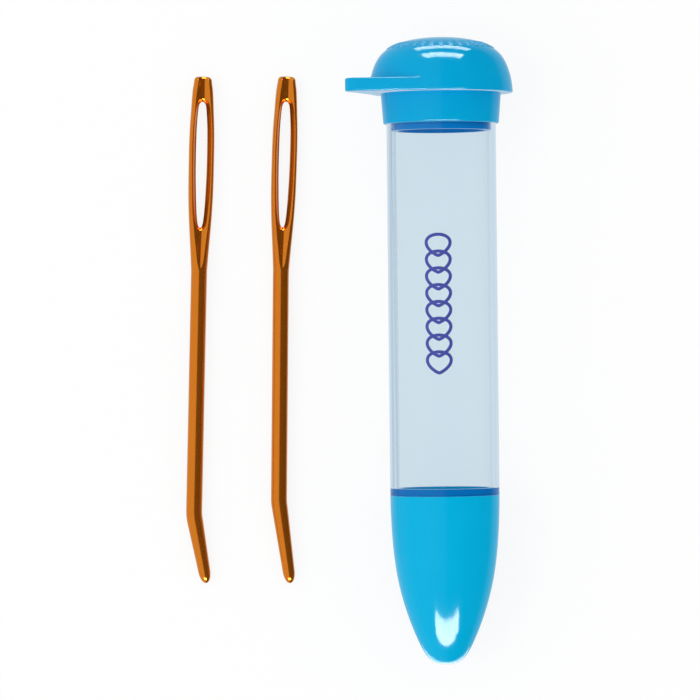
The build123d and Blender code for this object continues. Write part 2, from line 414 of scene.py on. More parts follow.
def anodised_aluminium(colour):
    """Bright-dipped aluminium wire, dyed orange in its oxide: a coloured mirror, lightly drawn.

    Faint lines 0.1 mm apart run along it, from the drawing die, and blur its reflections a little.
    The dyed oxide scatters a part of the light, so it isn't all metallic. Its tone clouds over
    some 2 mm, and the punched flanks of the eye are painted a deeper brown: painted shade.
    """
    material, tree = new_material("Anodised aluminium, orange")
    place = add(tree, "ShaderNodeTexCoord").outputs["Object"]
    along = add(tree, "ShaderNodeMapping", {"Scale": (1.0, 0.03, 1.0)}, {"Vector": place})
    drawing = {"Scale": 9000.0, "Detail": 3.0, "Roughness": 0.6}
    lines = add(tree, "ShaderNodeTexNoise", drawing, {"Vector": along})
    _, tone = mottled(tree, place, colour, 0.95, {"Scale": 450.0, "Detail": 2.0})
    # The eye's flanks are painted a deeper brown: painted shade in the eye
    inside = add(tree, "ShaderNodeAttribute", {"attribute_name": "flank_shade"}).outputs["Fac"]
    painted_flank_shade = {"data_type": "RGBA", "B": linear("#A8540E")}
    tone = add(tree, "ShaderNodeMix", painted_flank_shade, {"Factor": inside, "A": tone})
    relief = {"Strength": 0.35, "Distance": 0.000004}
    shader = patterned_skin(tree, {"Metallic": 0.85}, tone, (0.12, 0.18), lines, relief, lines)
    add(tree, "ShaderNodeOutputMaterial", {}, {"Surface": shader})
    return material


def moulded_polyethylene(colour, roughness=0.1):
    """Injection-moulded polyethylene: an even opaque blue with a close, weakly mirroring skin.

    Flow in the mould leaves faint clouds some 3 mm across, which vary its gloss by a fifth, and its
    skin has a 0.15 mm orange peel.
    """
    material, tree = new_material("Moulded polyethylene, sky blue")
    place = add(tree, "ShaderNodeTexCoord").outputs["Object"]
    cloud, tone = mottled(tree, place, colour, 0.96, {"Scale": 300.0, "Detail": 2.0})
    peel = add(tree, "ShaderNodeTexNoise", {"Scale": 6500.0, "Detail": 2.0}, {"Vector": place})
    plastic = {"IOR": 1.5, "Specular IOR Level": 0.12}
    rough = (0.8 * roughness, 1.2 * roughness)
    relief = {"Strength": 0.25, "Distance": 0.000003}
    shader = patterned_skin(tree, plastic, tone, rough, cloud, relief, peel)
    add(tree, "ShaderNodeOutputMaterial", {}, {"Surface": shader})
    return material


def clear_extrusion(colour):
    """Extruded clear styrene with a trace of blue: thin, glossy, and see-through all along.

    Its index is held low, as the thin wall hardly bends what lies behind it. Where the eye looks
    along its bore a fine grey-blue line of painted shade is mixed into its tint, deeper towards its
    left side. Draw lines 0.4 mm apart run along it. Lamps light what lies behind it.
    """
    material, tree = new_material("Extruded clear styrene, pale blue")
    place = add(tree, "ShaderNodeTexCoord").outputs["Object"]
    along = add(tree, "ShaderNodeMapping", {"Scale": (1.0, 0.02, 1.0)}, {"Vector": place})
    lines = add(tree, "ShaderNodeTexNoise", {"Scale": 2500.0, "Detail": 2.0}, {"Vector": along})

    # Painted shade: a grey-blue line where the eye looks along the bore, deeper towards the left
    bore_facing = 0.65
    facing = add(tree, "ShaderNodeLayerWeight", {"Blend": 0.5}).outputs["Facing"]
    off = add(tree, "ShaderNodeMath", {"operation": "SUBTRACT", 1: bore_facing}, {0: facing})
    off = add(tree, "ShaderNodeMath", {"operation": "ABSOLUTE"}, {0: off})
    fading = {"interpolation_type": "SMOOTHSTEP", "From Min": 0.11, "From Max": 0.03}
    line = add(tree, "ShaderNodeMapRange", fading, {"Value": off})
    sideways = add(tree, "ShaderNodeSeparateXYZ", {}, {"Vector": place}).outputs["X"]
    deepening = {"From Min": 0.018, "From Max": 0.010, "To Min": 0.25, "To Max": 1.0}
    left = add(tree, "ShaderNodeMapRange", deepening, {"Value": sideways})
    painted_bore_shade = add(tree, "ShaderNodeMath", {"operation": "MULTIPLY"}, {0: line, 1: left})
    # Grey-blue of the painted shade line
    ends = {"data_type": "RGBA", "A": tuple(colour), "B": linear("#B4CBDF")}
    tint_and_painted_shade = add(tree, "ShaderNodeMix", ends, {"Factor": painted_bore_shade})

    clear = {"IOR": 1.2, "Transmission Weight": 1.0}
    relief = {"Strength": 0.2, "Distance": 0.000002}
    shader = patterned_skin(tree, clear, tint_and_painted_shade, (0.02, 0.05), lines, relief, lines)
    through_one_wall = (*(c**0.5 for c in colour[:3]), 1.0)
    passing = add(tree, "ShaderNodeBsdfTransparent", {"Color": through_one_wall})
    path = add(tree, "ShaderNodeLightPath").outputs
    rays = {0: path["Is Shadow Ray"], 1: path["Is Diffuse Ray"]}
    soft = add(tree, "ShaderNodeMath", {"operation": "MAXIMUM"}, rays)
    mix = add(tree, "ShaderNodeMixShader", {}, {0: soft, 1: shader, 2: passing})
    add(tree, "ShaderNodeOutputMaterial", {}, {"Surface": mix})
    return material


def printing_ink(colour):
    """Screen-printed ink: a thin violet-blue film with a satin skin and slightly uneven cover.

    The printing mesh leaves it mottled over 0.2 mm.
    """
    material, tree = new_material("Screen-printing ink, violet blue")
    place = add(tree, "ShaderNodeTexCoord").outputs["Object"]
    _, tone = mottled(tree, place, colour, 0.85, {"Scale": 5000.0, "Detail": 1.0})
    shader = add(tree, "ShaderNodeBsdfPrincipled", {"Roughness": 0.45}, {"Base Color": tone})
    add(tree, "ShaderNodeOutputMaterial", {}, {"Surface": shader})
    return material


def dress(piece, material, body, node=None):
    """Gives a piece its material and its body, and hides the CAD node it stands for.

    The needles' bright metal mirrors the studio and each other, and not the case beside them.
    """
    piece.data.materials.append(material)
    piece.visible_glossy = body.endswith("needle")
    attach(piece, body)
    if node:
        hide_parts(node)


CapSizes = namedtuple("CapSizes", "skirt root flange plug seat")


def cap_sizes(settings):
    """Radii of the skirt's bore, the skirt's root, the flange and the plug, and the seat's height."""
    outer = settings.tube_diameter / 2
    skirt = outer + settings.cap_fit
    root = skirt + settings.root_wall
    flange = root + settings.flange_overhang
    plug = outer - settings.tube_wall - settings.cap_fit
    return CapSizes(skirt, root, flange, plug, settings.tube_length + settings.cap_fit)


def case_place(settings):
    """Shoulder and axes of the case: it lies on its flange's rim and on the nose's upper end."""
    sizes = cap_sizes(settings)
    reach, rest = NOSE_SHARES[1]
    drop = sizes.flange - rest * settings.tube_diameter / 2
    tilt = math.atan(drop / (sizes.seat + reach * settings.nose_length))
    low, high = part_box("case_tube")
    axis = np.array([0.0, math.cos(tilt), math.sin(tilt)])
    shoulder = (np.array(low) + np.array(high)) / 2 - axis * settings.tube_length / 2
    return shoulder, np.array([-1.0, 0.0, 0.0]), np.array([0.0, -math.sin(tilt), math.cos(tilt)]), axis


def on_case(settings, radius, turn, height):
    """World points at a radius, a turn from the left side over the top, and a height up the axis."""
    shoulder, left, up, axis = case_place(settings)
    across = radius * np.cos(turn)
    rise = radius * np.sin(turn)
    return (
        shoulder
        + across[..., None] * left
        + rise[..., None] * up
        + height[..., None] * np.ones_like(across)[..., None] * axis
    )


def rounded(corners, radii, steps=5, hold=0.00002):
    """Outline of straight runs with its corners rounded by quadratic curves.

    A point stands just outside each rounding, so that flat faces stay flat when shaded smooth.
    """
    corners = np.array(corners, float)
    points = [corners[:1]]
    u = np.linspace(0, 1, steps + 1)[:, None]
    for before, corner, after, radius in zip(corners, corners[1:], corners[2:], radii):
        away = (before - corner) / np.linalg.norm(before - corner)
        onward = (after - corner) / np.linalg.norm(after - corner)
        start = corner + away * radius
        end = corner + onward * radius
        points.append((start + away * hold)[None])
        points.append((1 - u) ** 2 * start + 2 * u * (1 - u) * corner + u**2 * end)
        points.append((end + onward * hold)[None])
    points.append(corners[-1:])
    return np.concatenate(points)


def lathe(settings, name, outline, closed):
    """Surface of revolution about the case's axis: each outline point's radius, carried all round."""
    turn = np.linspace(0, 2 * math.pi, SEGMENTS, endpoint=False)
    radius = outline[:, 0][:, None] * np.ones_like(turn)
    height = outline[:, 1][:, None] * np.ones_like(turn)
    points = on_case(settings, radius, turn[None, :] * np.ones_like(radius), height)
    faces = grid_faces(len(outline), SEGMENTS, wrap=True)
    if closed:
        last = (len(outline) - 1) * SEGMENTS
        j = np.arange(SEGMENTS)
        k = (j + 1) % SEGMENTS
        faces = np.concatenate([faces, np.stack([last + j, last + k, k, j], -1)])
    return piece_mesh(name, points, faces, sharp=50)


def needle_runs(settings, place):
    """Runs of the centre line as (length, turn per metre), roll and rise of the shaft, and taper.

    The roll lays the tapering underside of the heavy bent tip on the table.
    """
    bend = math.radians(place.bend)
    head_lean = math.radians(place.head_lean)
    setback = settings.tip_bend_radius * math.tan(bend / 2)
    taper = place.leg * MM - setback - settings.nib_length
    narrowing = math.atan((settings.shaft_diameter - settings.nib_diameter) / 2 / taper)
    roll = math.asin(math.sin(narrowing) / math.sin(bend))
    rise = settings.tip_bend_radius * (1 - math.cos(bend)) * math.sin(roll)
    neck = settings.neck_bend_radius * math.tan(head_lean / 2)
    shaft = settings.needle_length - settings.head_length - 2 * neck - setback - place.leg * MM
    runs = [
        (settings.head_length, 0.0),
        (settings.neck_bend_radius * head_lean, 1 / settings.neck_bend_radius),
        (shaft, 0.0),
        (settings.tip_bend_radius * bend, 1 / settings.tip_bend_radius),
        (taper + settings.nib_length, 0.0),
    ]
    return runs, roll, rise, taper


def along_run(x, y, heading, rate, s):
    """Place and heading at the distance s along a run.

    On a straight run the place moves along the heading. On a bend the heading grows with distance,
    and the place is the integral of its sine and cosine.
    """
    angle = heading + rate * s
    if rate:
        x = x + (math.cos(heading) - np.cos(angle)) / rate
        y = y + (np.sin(angle) - math.sin(heading)) / rate
    else:
        x = x + math.sin(heading) * s
        y = y + math.cos(heading) * s
    return x, y, angle


def centre_line(runs, heading, at):
    """Place across and down, and heading, at each distance along the runs."""
    line = np.array([0 * at, 0 * at, 0 * at + heading])
    start, x, y = 0.0, 0.0, 0.0
    for run, rate in runs:
        if run > 0:
            line = np.where(at >= start - 1e-9, along_run(x, y, heading, rate, at - start), line)
        x, y, heading = along_run(x, y, heading, rate, run)
        start += run
    return line


def eye_half_width(settings, at):
    """Half width of the eye at each distance, zero above and below it."""
    share = np.clip((at - settings.eye_setback) / settings.eye_length, 0, 1)
    turn = np.degrees(np.arccos(1 - 2 * share))
    return settings.eye_width / 2 * np.clip(through(EYE_SHARES, 1, turn), 0, 1)


def needle_rows(settings, runs):
    """Distances of the rows along the needle, close where its shape changes quickly."""
    end = settings.head_end_radius
    eye = settings.eye_setback
    tail = eye + settings.eye_length
    head = settings.head_length
    beside_eye, before_shaft = 0.0006, 0.0008
    arc = np.linspace(0, math.pi / 2, 9)
    near = beside_eye * (1 - np.cos(np.linspace(0, math.pi / 2, 17)))
    turn = np.linspace(0, math.pi, 121)
    neck = head + runs[1][0]
    crook = neck + runs[2][0]
    leg = crook + runs[3][0]
    point = sum(run for run, _ in runs) - settings.nib_length
    rows = [
        end * (1 - np.cos(arc)),
        np.linspace(end, eye - beside_eye, 16),
        eye - near,
        eye + settings.eye_length * (1 - np.cos(turn)) / 2,
        tail + near,
        np.linspace(tail + beside_eye, head - before_shaft, 28),
        np.linspace(head - before_shaft, head, 13),
        np.linspace(head, neck, 7),
        np.linspace(neck, crook, 26),
        np.linspace(crook, leg, 13),
        np.linspace(leg, point, 14),
        point + settings.nib_length * np.sin(np.linspace(0, math.pi / 2, 25)),
    ]
    rows = np.unique(np.round(np.concatenate(rows), 9))
    return rows[np.concatenate([[True], np.diff(rows) > 2e-6])]


def needle_blank(settings, at, total, taper):
    """Half width, half thickness and power of the blank's section at each distance.

    The head swells and flattens as its table says and ends in a quarter round. Past the tip's bend
    the shaft narrows evenly down to the nib, which is half an ellipse.
    """
    radius = settings.shaft_diameter / 2
    share = at / settings.head_length
    half = radius + (settings.head_width / 2 - radius) * through(HEAD_SHARES, 1, share)
    thick = radius + (settings.head_thickness / 2 - radius) * through(HEAD_SHARES, 2, share)
    power = 2 + 0.7 * through(HEAD_SHARES, 3, share)
    end = np.clip(1 - at / settings.head_end_radius, 0, 1)
    inset = settings.head_end_radius * (1 - np.sqrt(1 - end**2))

    nib = settings.nib_diameter / 2
    tip = (at - (total - settings.nib_length)) / settings.nib_length
    slim = radius + (nib - radius) * np.clip(1 + tip * settings.nib_length / taper, 0, 1)
    slim = np.where(tip > 0, nib * np.sqrt(np.clip(1 - np.clip(tip, 0, 1) ** 2, 0, 1)), slim)
    body = at > settings.head_length
    return np.where(body, slim, half - inset), np.where(body, slim, thick - inset), power


def eye_distance(settings, at, x, on_eye):
    """Distance from each point to the nearest of 721 points round the eye. Away from the eye one
    metre stands in for it."""
    reach = 0.001
    turn = np.linspace(0, math.pi, 721)
    edge_s = settings.eye_setback + settings.eye_length * (1 - np.cos(turn)) / 2
    edge_x = eye_half_width(settings, edge_s)
    rows = (at[:, 0] > edge_s[0] - reach) & (at[:, 0] < edge_s[-1] + reach)
    gap = np.full(x.shape, 1.0)
    away = (at[rows][:, :, None] - edge_s) ** 2 + (x[rows][:, :, None] - edge_x) ** 2
    gap[rows] = np.sqrt(away.min(-1))
    gap[on_eye, 0] = 0.0
    return gap


def half_rounded(share):
    """Height over an edge at each share of its width s: s/2 + sqrt(1 - (1 - s)^2)/2."""
    return 0.5 * share + 0.5 * np.sqrt(1 - (1 - share) ** 2)


def needle_quarter(settings, at, total, taper):
    """Upper right quarter of every section, as places across and heights, row by row.

    Blank: a superellipse, x = w sin(t)^(2/n) and z = h cos(t)^(2/n). The groove is a trough with a
    flat bottom and straight flanks up to its crest. Each section is the lower of the two, with a
    soft corner. Its height is half rounded towards the eye, over the lip, and towards the top end,
    down to 0.3. The third result is how far a point lies down the eye's flank, the share of painted shade
    there.
    """
    at = at[:, None]
    share = at / settings.head_length
    tail = settings.eye_setback + settings.eye_length
    on_eye = (at[:, 0] > settings.eye_setback - 1e-8) & (at[:, 0] < tail + 1e-8)
    half, thick, power = needle_blank(settings, at, total, taper)
    width = np.maximum(half, 1e-9)

    eye = eye_half_width(settings, at)
    near = 0.0002 * (1 - np.cos(np.linspace(0, math.pi / 2, LIP_COLUMNS)))
    lip_x = np.minimum(eye + near, half)
    first = np.arcsin(np.clip(np.clip(lip_x[:, -1:] / width, 0, 1) ** (power / 2), 0, 1))
    turn = first + (math.pi / 2 - first) * np.linspace(0, 1, SIDE_COLUMNS)[1:]
    x = np.concatenate([lip_x, half * np.sin(turn) ** (2 / power)], 1)
    blank = thick * (1 - np.clip(x / width, 0, 1) ** power) ** (1 / power)
    blank[:, LIP_COLUMNS:] = thick * np.cos(turn) ** (2 / power)

    crest = through(GROOVE_SHARES, 1, share) * half
    foot_x = np.maximum(through(GROOVE_SHARES, 2, share) * MM, eye)
    foot_z = through(GROOVE_SHARES, 3, share) * MM
    top = thick * (1 - np.clip(crest / width, 0, 1) ** power) ** (1 / power)
    rise = np.maximum(top - foot_z, 0.0) / np.maximum(crest - foot_x, 0.00003)
    rise = np.where(share < 1, rise, 4.0)
    softness = 0.00004
    trough = foot_z + rise * (softness * np.logaddexp(0, (x - foot_x) / softness))

    soft = np.clip(eye_distance(settings, at, x, on_eye) / settings.lip_radius, 0, 1)
    over = np.clip(at / settings.head_end_radius, 0, 1)
    z = soft_minimum(blank, trough, settings.crest_radius)
    z = np.minimum(np.maximum(z, 0), blank)
    z = np.where(share > 1, blank, z)
    z = z * half_rounded(soft) * (0.3 + 0.7 * half_rounded(over))
    z[:, -1] = 0.0
    z[on_eye, 0] = 0.0
    return x, z, (1 - soft) ** 2


def needle(settings, name, place):
    """Needle mesh: the quarter section mirrored four ways, on a grid of rows and columns.

    Rows at the start close the flat end. Each point is carried to the centre line's place and
    heading, and the whole is rolled about the shaft's own axis.
    """
    runs, roll, rise, taper = needle_runs(settings, place)
    at = needle_rows(settings, runs)
    x, z, flank_shade = needle_quarter(settings, at, sum(run for run, _ in runs), taper)
    rows = np.maximum(np.arange(-END_ROWS, len(at)), 0)
    at, x, z, flank_shade = at[rows], x[rows], z[rows], flank_shade[rows]
    z[:END_ROWS] *= np.linspace(0, 1, END_ROWS + 1)[:-1, None]
    heading = -math.radians(place.lean + place.head_lean)
    across, down, turn = centre_line(runs, heading, at)

    quarters = []
    faces = []
    for side, face in ((1, 1), (1, -1), (-1, 1), (-1, -1)):
        u = across[:, None] + side * x * np.cos(turn)[:, None]
        v = down[:, None] - side * x * np.sin(turn)[:, None]
        quarters.append(np.stack([u, v, face * z], -1).reshape(-1, 3))
        faces.append(grid_faces(*x.shape, start=len(faces) * x.size))
    points = np.concatenate(quarters)

    neck = np.array([settings.head_length + runs[1][0]])
    start_x, start_y, lean = centre_line(runs, heading, neck)[:, 0]
    start = np.array([start_x, start_y])
    spine = np.array([math.sin(lean), math.cos(lean)])
    side = np.array([math.cos(lean), -math.sin(lean)])
    flat = points[:, :2] - start
    along = flat @ spine
    off = flat @ side
    rolled = off * math.cos(roll) + points[:, 2] * math.sin(roll)
    lifted = points[:, 2] * math.cos(roll) - off * math.sin(roll)
    flat = start + along[:, None] * spine + rolled[:, None] * side

    shoulder = case_place(bpy.context.scene.case_settings)[0]
    world_x = shoulder[0] - place.aside * MM + flat[:, 0]
    world_y = shoulder[1] + place.above * MM - flat[:, 1]
    world_z = settings.shaft_diameter / 2 + rise + lifted + NEEDLE_LIFT
    world = np.stack([world_x, world_y, world_z], -1)
    # Painted shade down the eye's flanks, the same in all four quarters
    flank_shade = np.tile(flank_shade.ravel(), 4)
    return piece_mesh(name, world, np.concatenate(faces), merge=1.1e-6, flank_shade=flank_shade)


def tube(settings, name):
    """Open tube: a rectangle of its wall's section, its corners barely broken, carried round."""
    outer = settings.tube_diameter / 2
    bore = outer - settings.tube_wall
    tall = settings.tube_length
    corners = [(bore, 0.4 * tall), (bore, 0), (outer, 0), (outer, tall), (bore, tall), (bore, 0.6 * tall)]
    return lathe(settings, name, rounded(corners, [0.00008] * 4), closed=True)


def nose_curve(radius, tall, count):
    """Outline from the shoulder down to the nose's end, as radius and height."""
    points = [(radius * across, -tall * along) for along, across in NOSE_SHARES]
    return clamped_curve(points, (0, -1), (-1, 0), count)


def nose(settings, name):
    """Hollow nose: outline up its outside, round its spigot and down its hollow to the middle."""
    outer = settings.tube_diameter / 2
    spigot = outer - settings.tube_wall - settings.nose_fit
    bore = spigot - settings.spigot_wall
    outside = nose_curve(outer, settings.nose_length, 110)[::-1]
    inside = nose_curve(bore, settings.nose_length - settings.nose_tip_wall, 60)
    outside = outside[outside[:, 1] < -0.0003]
    top = settings.spigot_height
    corners = [(outer, -0.00025), (outer, 0), (spigot, 0), (spigot, top), (bore, top), (bore, 0.00005)]
    outline = np.concatenate([outside, rounded(corners, [0.00008, 0.00003, 0.0001, 0.0001]), inside])
    return lathe(settings, name, outline, closed=False)


def dark_ring(settings, name, inner, outer, low, high):
    """Ring of darker plastic seen through the clear wall, where it paints shade: a small rectangle carried
    round the axis.
    """
    start, end = low + 0.4 * (high - low), low + 0.6 * (high - low)
    corners = [(inner, start), (inner, low), (outer, low), (outer, high), (inner, high), (inner, end)]
    outline = rounded(corners, [0.00003] * 4, steps=3, hold=0.00001)
    return lathe(settings, name, outline, closed=True)


def weld_ring(settings, name):
    """Skin round the spigot, which has melted into the tube's wall as deep as the weld goes. Its darker
    blue is the wetted joint and painted shade.
    """
    skin = 0.00003
    bore = settings.tube_diameter / 2 - settings.tube_wall
    hollow = bore - settings.nose_fit - settings.spigot_wall
    top = settings.spigot_height + skin
    return dark_ring(settings, name, hollow + skin, bore + settings.weld, skin, top)


def plug_ring(settings, name):
    """Skin of painted shade round the plug, from its end to a little way up inside the skirt."""
    skin, above_lip = 0.00002, 0.0005
    sizes = cap_sizes(settings)
    inner = sizes.plug - settings.plug_wall - skin
    low = sizes.seat - settings.skirt_height - settings.plug_drop
    high = low + settings.plug_drop + above_lip
    return dark_ring(settings, name, inner, sizes.plug + skin, low - skin, high)


def dome_curve(radius, tall, count):
    """Outline from the flange's edge up to the dome's top, as radius and height."""
    points = [(radius * across, tall * up) for across, up in DOME_SHARES]
    return clamped_curve(points, (0, 1), (-1, 0), count)


def cap_edge(settings, turn, flange):
    """Edge of the drop-shaped plate at each turn from the tab: its round end, its straight side,
    then its root circle a, a little inside the flange. The end is b round a centre c away, and the
    side touches both circles."""
    root_share, widest_turn = 0.965, 1.2
    a = root_share * flange
    b = settings.tab_tip_radius
    c = flange + settings.tab_overhang - b
    lean = math.acos((a - b) / c)
    corner = math.atan2(b * math.sin(lean), c + b * math.cos(lean))
    turn = np.abs(turn)
    end = c * np.cos(turn) + np.sqrt(np.maximum(b**2 - (c * np.sin(turn)) ** 2, 0))
    side = a / np.cos(np.minimum(np.abs(turn - lean), widest_turn))
    return np.where(turn <= corner, end, np.where(turn <= lean, side, a))


def cap(settings, name):
    """Domed cap with its tab, skirt and plug: one grid whose rows run from the dome's top to the
    underside of its wall. Where a row crosses the tab's height its radius is the larger of the
    dome's and the plate's."""
    sizes = cap_sizes(settings)
    root = sizes.root
    flange = sizes.flange - FLANGE_RELIEF
    skirt = sizes.skirt
    lip = skirt + settings.lip_wall
    plug = sizes.plug
    bore = plug - settings.plug_wall
    thick = settings.tab_thickness
    soft = settings.edge_radius
    low = -settings.skirt_height
    base = low - settings.plug_drop

    fine = math.radians(8)
    even = np.linspace(-math.pi, math.pi, 241)[:-1]
    over_tab = np.radians(np.linspace(-60, 60, 121))
    turn = np.concatenate([even, over_tab, np.linspace(-fine, fine, 81)])
    turn = np.unique(np.round(turn, 6))
    turn = turn[turn < math.pi - 1e-4]
    plate = cap_edge(settings, turn, flange)
    widest = np.maximum(plate, flange)

    curve = dome_curve(flange, settings.dome_height, 400)
    above = curve[::-1][::5]
    above = above[above[:, 1] > thick + 0.0001]
    shoulder = np.interp(thick, curve[:, 1], curve[:, 0])

    # A row stands a few hundredths of a millimetre off each rounding, so that flat faces stay flat
    rows = [(np.full_like(turn, r), h) for r, h in above]
    edge = np.maximum(plate - soft, shoulder)
    hold = np.maximum(edge - 0.00005, shoulder)
    for share in (0.0, 0.01, 0.25, 0.5, 0.75, 1.0):
        rows.append((shoulder + share * (hold - shoulder), thick))
    for angle in np.linspace(math.pi / 2, 0, 6):
        h = thick - soft + soft * math.sin(angle)
        beside = np.interp(h, curve[:, 1], curve[:, 0])
        rows.append((np.maximum(beside, plate - soft + soft * math.cos(angle)), h))
    for h in np.linspace(thick - soft - 0.00003, soft + 0.00003, 8):
        beside = np.interp(h, curve[:, 1], curve[:, 0])
        rows.append((np.maximum(beside, plate), h))
    for angle in np.linspace(0, math.pi / 2, 6):
        rows.append((widest - soft + soft * math.cos(angle), soft - soft * math.sin(angle)))
    for share in (0.02, 0.3, 0.65, 0.98):
        rows.append((widest - soft + share * (root + 0.0002 - widest + soft), 0.0))

    # Corners from the skirt's root round its lip and the plug's end, each with its radius
    corners = [(root + 0.00015, 0), (root, 0), (lip, low), (skirt, low), (skirt, 0)]
    corners += [(plug, 0), (plug, base), (bore, base), (bore, 0.0008)]
    radii = [0.00005, 0.0003, 0.0001, 0.00005, 0.00005, 0.00012, 0.00012]
    ceiling = settings.dome_height - settings.dome_wall
    inner = dome_curve(flange - settings.dome_wall, ceiling, 200)
    inner = inner[inner[:, 0] < bore][::5]
    below = np.concatenate([rounded(corners, radii), inner, [(0.0, ceiling)]])
    rows += [(np.full_like(turn, r), h) for r, h in below]

    radius = np.array([r for r, _ in rows])
    height = np.array([np.full_like(turn, h) for _, h in rows])
    round_turn = np.broadcast_to(turn + math.radians(TAB_TURN), radius.shape)
    points = on_case(settings, radius, round_turn, height + sizes.seat)
    faces = grid_faces(len(rows), len(turn), wrap=True)
    return piece_mesh(name, points, faces, sharp=50)


def signed_power(value, power):
    """Power of the size of a value, with the value's own sign."""
    return np.sign(value) * np.abs(value) ** power


def crown_ribs(settings, name):
    """Ring of short grip ribs: flattened pillows, |x/a|^n + |y/b|^n + |z/c|^n = 1 with n = 4,
    laid along the dome's outline at even turns and half sunk in it."""
    ring_share = 0.66
    half_length, half_width = 0.0011, 0.00038
    sizes = cap_sizes(settings)
    curve = dome_curve(sizes.flange, settings.dome_height, 400)
    reach = np.concatenate([[0.0], np.cumsum(np.linalg.norm(np.diff(curve, axis=0), axis=1))])
    middle = np.interp(-ring_share * sizes.flange, -curve[:, 0], reach)
    slope = np.gradient(curve, reach, axis=0)

    u = np.linspace(0, math.pi, 11)[:, None]
    v = np.linspace(0, 2 * math.pi, 12, endpoint=False)[None, :]
    power = 2 / 4
    along = signed_power(np.cos(u), power) * half_length * np.ones_like(v)
    beside = np.sin(u) ** power * signed_power(np.cos(v), power) * half_width
    proud = np.sin(u) ** power * signed_power(np.sin(v), power) * settings.rib_height
    at = middle + along
    foot_r = np.interp(at, reach, curve[:, 0])
    foot_h = np.interp(at, reach, curve[:, 1])
    radius = foot_r + np.interp(at, reach, slope[:, 1]) * proud
    height = foot_h - np.interp(at, reach, slope[:, 0]) * proud

    points = []
    faces = []
    for k in range(settings.rib_count):
        turn = 2 * math.pi * (k + 0.5) / settings.rib_count + beside / foot_r
        points.append(on_case(settings, radius, turn, height + sizes.seat).reshape(-1, 3))
        faces.append(grid_faces(*radius.shape, wrap=True, start=k * radius.size))
    return piece_mesh(name, np.concatenate(points), np.concatenate(faces))


def printed_chain(settings, name):
    """Column of drop-shaped stitches: x = a sin t sin(t/2)^0.6, y = -b cos t, each drawn as a flat
    stroke with rounded edges and wrapped round the tube, where across / radius is the turn."""
    half_width, half_height, half_stroke = 0.0021, 0.00155, 0.00024
    film_middle, half_film = 0.000014, 0.000012
    count, pitch, lowest, right_of_top = 8, 0.00246, 0.0197, 0.0008
    steps, sides = 56, 10
    radius = settings.tube_diameter / 2
    t = np.linspace(0, 2 * math.pi, steps, endpoint=False)[:, None]
    v = np.linspace(0, 2 * math.pi, sides, endpoint=False)[None, :]
    x = half_width * np.sin(t) * np.sin(t / 2) ** 0.6
    y = -half_height * np.cos(t)
    dx = np.roll(x, -1, 0) - np.roll(x, 1, 0)
    dy = np.roll(y, -1, 0) - np.roll(y, 1, 0)
    size = np.hypot(dx, dy)
    stroke = half_stroke * np.cos(v)
    across = x + stroke * dy / size
    along = y - stroke * dx / size
    proud = radius + film_middle + half_film * np.sin(v) + 0 * t
    turn = math.pi / 2 - (right_of_top + across) / radius
    stitch = grid_faces(steps + 1, sides, wrap=True) % (steps * sides)
    points = []
    faces = []
    for k in range(count):
        height = lowest + pitch * k + along
        points.append(on_case(settings, proud, turn, height).reshape(-1, 3))
        faces.append(stitch + steps * sides * k)
    return piece_mesh(name, np.concatenate(points), np.concatenate(faces), merge=1e-8)


class MESH_OT_yarn_needles(bpy.types.Operator):
    """Builds both needles and gives them their anodised finish"""

    bl_idname = "mesh.yarn_needles"
    bl_label = "Yarn Needles"

    def execute(self, context):
        settings = context.scene.needle_settings
        finish = anodised_aluminium(settings.anodising)
        for side, place in NEEDLE_PLACES.items():
            piece = needle(settings, f"{side}_needle_body", place)
            dress(piece, finish, f"{side}_needle", f"needle_{side}")
        return {"FINISHED"}


class MESH_OT_case_tube(bpy.types.Operator):
    """Builds the clear tube and the pattern printed on it"""

    bl_idname = "mesh.case_tube"
    bl_label = "Case Tube"

    def execute(self, context):
        settings = context.scene.case_settings
        wall = tube(settings, "clear_tube")
        dress(wall, clear_extrusion(settings.clear), "case", "case_tube")
        chain = printed_chain(settings, "printed_stitches")
        dress(chain, printing_ink(settings.ink), "case")
        return {"FINISHED"}


class MESH_OT_case_nose(bpy.types.Operator):
    """Builds the pointed nose that closes the tube's lower end, and its weld, darker in part by painted
    shade
    """

    bl_idname = "mesh.case_nose"
    bl_label = "Case Nose"

    def execute(self, context):
        settings = context.scene.case_settings
        piece = nose(settings, "pointed_nose")
        dress(piece, moulded_polyethylene(settings.nose_blue), "case", "case_nose")
        # Ring round the spigot in darker blue: the wetted joint and painted shade
        ring = weld_ring(settings, "weld_ring")
        dress(ring, moulded_polyethylene(settings.weld_and_shade_blue), "case")
        return {"FINISHED"}


class MESH_OT_case_cap(bpy.types.Operator):
    """Builds the domed cap, the painted shade on its plug and its grip ribs, which are worn duller"""

    bl_idname = "mesh.case_cap"
    bl_label = "Case Cap"

    def execute(self, context):
        settings = context.scene.case_settings
        finish = moulded_polyethylene(settings.cap_blue)
        # Darker ring on the plug: painted shade
        ring = plug_ring(settings, "plug_ring")
        dress(ring, moulded_polyethylene(settings.plug_blue), "cap")
        dress(cap(settings, "domed_cap"), finish, "cap", "case_cap")
        worn = moulded_polyethylene(settings.cap_blue, roughness=0.4)
        dress(crown_ribs(settings, "crown_ribs"), worn, "cap")
        return {"FINISHED"}


